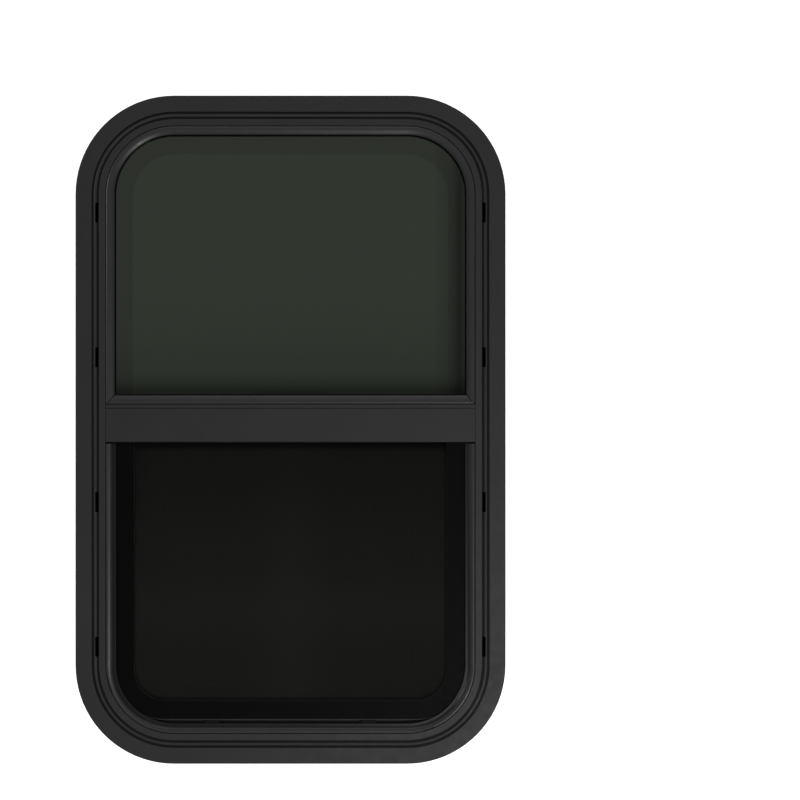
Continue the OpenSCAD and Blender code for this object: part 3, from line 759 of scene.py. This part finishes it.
class WINDOW_OT_set_stage(bpy.types.Operator):
    """Set the floor, backdrop, lamps and camera"""

    bl_idname = "window.set_stage"
    bl_label = "Set Stage"

    def execute(self, context):
        scene = context.scene
        low, high = CAD_BOX
        centre = (Vector(low) + Vector(high)) / 2
        self.sweep(scene, low)
        self.surround(scene)
        self.lamps(centre)
        self.look(scene, centre)
        scene.view_settings.view_transform = "Standard"
        return {"FINISHED"}

    def sweep(self, scene, low):
        """A pale floor that curves up into a backdrop; the low lamps shine past its front."""
        front, back, drop, rise, half, bend, steps = -0.15, 3.2, 0.12, 4.0, 4.0, 0.8, 12
        floor_z = low[2] - drop
        stage = bmesh.new()
        line = [(front, floor_z), (back - bend, floor_z)]
        line += [(back - bend * (1 - sin(a)), floor_z + bend * (1 - cos(a)))
                 for a in [pi / 2 * i / steps for i in range(1, steps)]]
        line += [(back, floor_z + bend), (back, floor_z + rise)]
        verts = [stage.verts.new((-half, y, z)) for y, z in line]
        edges = [stage.edges.new(pair) for pair in zip(verts, verts[1:])]
        made = bmesh.ops.extrude_edge_only(stage, edges=edges)
        moved = [v for v in made["geom"] if isinstance(v, bmesh.types.BMVert)]
        bmesh.ops.translate(stage, verts=moved, vec=(2 * half, 0, 0))
        bmesh.ops.recalc_face_normals(stage, faces=stage.faces)
        mesh = bpy.data.meshes.new("studio_sweep")
        stage.to_mesh(mesh)
        stage.free()
        mesh.shade_smooth()
        sweep = bpy.data.objects.new("studio_sweep", mesh)
        scene.collection.objects.link(sweep)
        mesh.materials.append(self.paper())

    def paper(self):
        """White paper: lit as a pale surface, seen as white."""
        material = bpy.data.materials.new("studio_paper")
        material.use_nodes = True
        tree = material.node_tree
        shader = tree.nodes["Principled BSDF"]
        shader.inputs["Base Color"].default_value = (PAPER_TONE, PAPER_TONE, PAPER_TONE, 1)
        shader.inputs["Roughness"].default_value = PAPER_ROUGHNESS
        path = tree.nodes.new("ShaderNodeLightPath")
        shader.inputs["Emission Color"].default_value = (1, 1, 1, 1)
        glow = tree.nodes.new("ShaderNodeMath")
        glow.operation = "MULTIPLY"
        glow.inputs[1].default_value = PAPER_GLOW
        tree.links.new(path.outputs["Is Camera Ray"], glow.inputs[0])
        tree.links.new(glow.outputs["Value"], shader.inputs["Emission Strength"])
        seen = tree.nodes.new("ShaderNodeEmission")
        mix = tree.nodes.new("ShaderNodeMixShader")
        either = tree.nodes.new("ShaderNodeMath")
        either.operation = "MAXIMUM"
        tree.links.new(path.outputs["Is Glossy Ray"], either.inputs[0])
        tree.links.new(path.outputs["Is Transmission Ray"], either.inputs[1])
        tree.links.new(either.outputs["Value"], mix.inputs["Fac"])
        tree.links.new(shader.outputs["BSDF"], mix.inputs[1])
        tree.links.new(seen.outputs["Emission"], mix.inputs[2])
        tree.links.new(mix.outputs["Shader"], tree.nodes["Material Output"].inputs["Surface"])
        return material

    def surround(self, scene):
        """Even studio light, with white where the camera looks past the paper."""
        world = bpy.data.worlds.new("studio_air")
        scene.world = world
        world.use_nodes = True
        tree = world.node_tree
        air = tree.nodes["Background"]
        air.inputs["Color"].default_value = (1, 1, 1, 1)
        air.inputs["Strength"].default_value = AIR_LIGHT
        seen = tree.nodes.new("ShaderNodeBackground")
        seen.inputs["Color"].default_value = (1, 1, 1, 1)
        seen.inputs["Strength"].default_value = 1.0
        path = tree.nodes.new("ShaderNodeLightPath")
        mix = tree.nodes.new("ShaderNodeMixShader")
        tree.links.new(path.outputs["Is Camera Ray"], mix.inputs["Fac"])
        tree.links.new(air.outputs["Background"], mix.inputs[1])
        tree.links.new(seen.outputs["Background"], mix.inputs[2])
        tree.links.new(mix.outputs["Shader"], tree.nodes["World Output"].inputs["Surface"])

    def lamps(self, centre):
        """Soft boxes round the window."""
        for name, (x, y, up), aim, width, power in LAMPS:
            area_light(name, (x, y, centre.z + up), aim or centre, width, power)

    def look(self, scene, centre):
        """A level camera straight in front of the window, framed as the photograph is."""
        data = bpy.data.cameras.new("camera")
        data.sensor_width = SENSOR_MM
        data.lens = SENSOR_MM * CAMERA_DISTANCE / (PHOTO_PX * MM_PER_PX * MM)
        data.shift_x = 0.5 - WINDOW_PX[0] / PHOTO_PX
        data.shift_y = WINDOW_PX[1] / PHOTO_PX - 0.5
        camera = bpy.data.objects.new("camera", data)
        scene.collection.objects.link(camera)
        camera.location = (centre.x, -CAMERA_DISTANCE, centre.z)
        camera.rotation_euler = (pi / 2, 0, 0)
        scene.camera = camera


OPERATORS = (
    WINDOW_OT_coat_frame,
    WINDOW_OT_coat_ring,
    WINDOW_OT_paint_screen,
    WINDOW_OT_finish_beads,
    WINDOW_OT_tint_glass,
    WINDOW_OT_finish_seals,
    WINDOW_OT_finish_plastics,
    WINDOW_OT_turn_screws,
    WINDOW_OT_mould_latch,
    WINDOW_OT_soften_blocks,
    WINDOW_OT_weave_screen,
    WINDOW_OT_set_stage,
)


class WINDOW_PT_panel(bpy.types.Panel):
    """Lists the window's steps in the sidebar"""

    bl_label = "Caravan Window"
    bl_idname = "WINDOW_PT_panel"
    bl_space_type = "VIEW_3D"
    bl_region_type = "UI"
    bl_category = "Window"

    def draw(self, context):
        for group in (context.scene.window_sizes, context.scene.window_colours):
            for name in group.bl_rna.properties.keys():
                if name not in ("rna_type", "name"):
                    self.layout.prop(group, name)
        for operator in OPERATORS:
            self.layout.operator(operator.bl_idname)


CLASSES = (WindowSizes, WindowColours, *OPERATORS, WINDOW_PT_panel)


def register():
    for cls in CLASSES:
        bpy.utils.register_class(cls)
    bpy.types.Scene.window_sizes = PointerProperty(type=WindowSizes)
    bpy.types.Scene.window_colours = PointerProperty(type=WindowColours)


def unregister():
    del bpy.types.Scene.window_colours
    del bpy.types.Scene.window_sizes
    for cls in reversed(CLASSES):
        bpy.utils.unregister_class(cls)


def main():
    register()
    for operator in OPERATORS:
        group, step = operator.bl_idname.split(".")
        getattr(getattr(bpy.ops, group), step)()
    bpy.context.view_layer.update()


if __name__ == "__main__":
    main()
